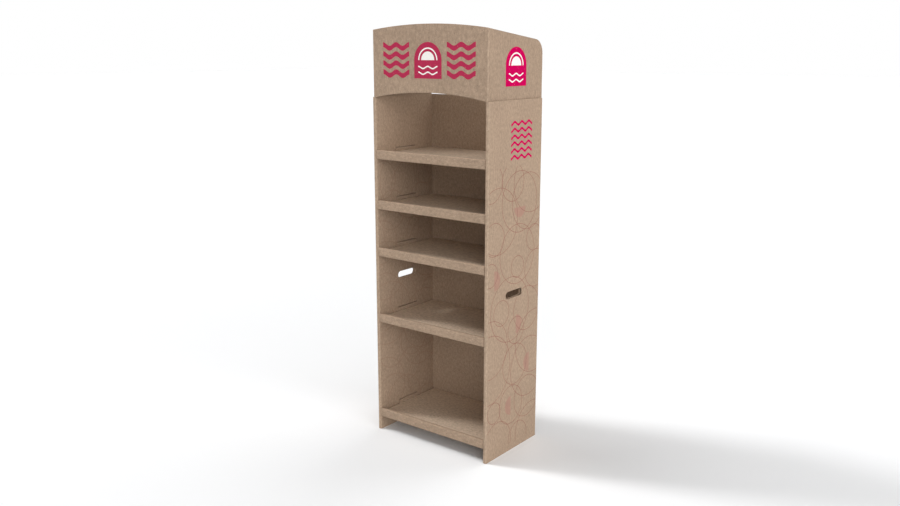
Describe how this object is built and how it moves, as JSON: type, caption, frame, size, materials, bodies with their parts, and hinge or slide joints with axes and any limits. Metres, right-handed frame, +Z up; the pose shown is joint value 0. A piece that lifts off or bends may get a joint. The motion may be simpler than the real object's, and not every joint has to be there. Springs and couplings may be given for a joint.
{
  "type": "cardboard display stand",
  "caption": "Tall kraft corrugated floor display: a folded body with double side walls and hand holes, open-front shelves hung in wall slots, and an arched header tucked into the walls.",
  "frame": {"origin": "on the floor, under the middle of the stand's width and depth", "axes": "+Z up, -Y out of the open front, +X to the right as seen from the front"},
  "size_m": [0.6, 0.378, 1.778],
  "materials": {
    "body_board": "uncoated speckled kraft liner, printed with thin lines and fields of colour",
    "header_board": "uncoated speckled kraft liner, printed with fields of crimson",
    "shelf_board": "uncoated speckled kraft liner"
  },
  "bodies": {
    "root": {"body_wrap": "body_board", "header": "header_board", "bottom_shelf": "shelf_board", "lower_shelf": "shelf_board", "middle_shelf": "shelf_board", "upper_shelf": "shelf_board", "top_shelf": "shelf_board"}
  },
  "joints": []
}
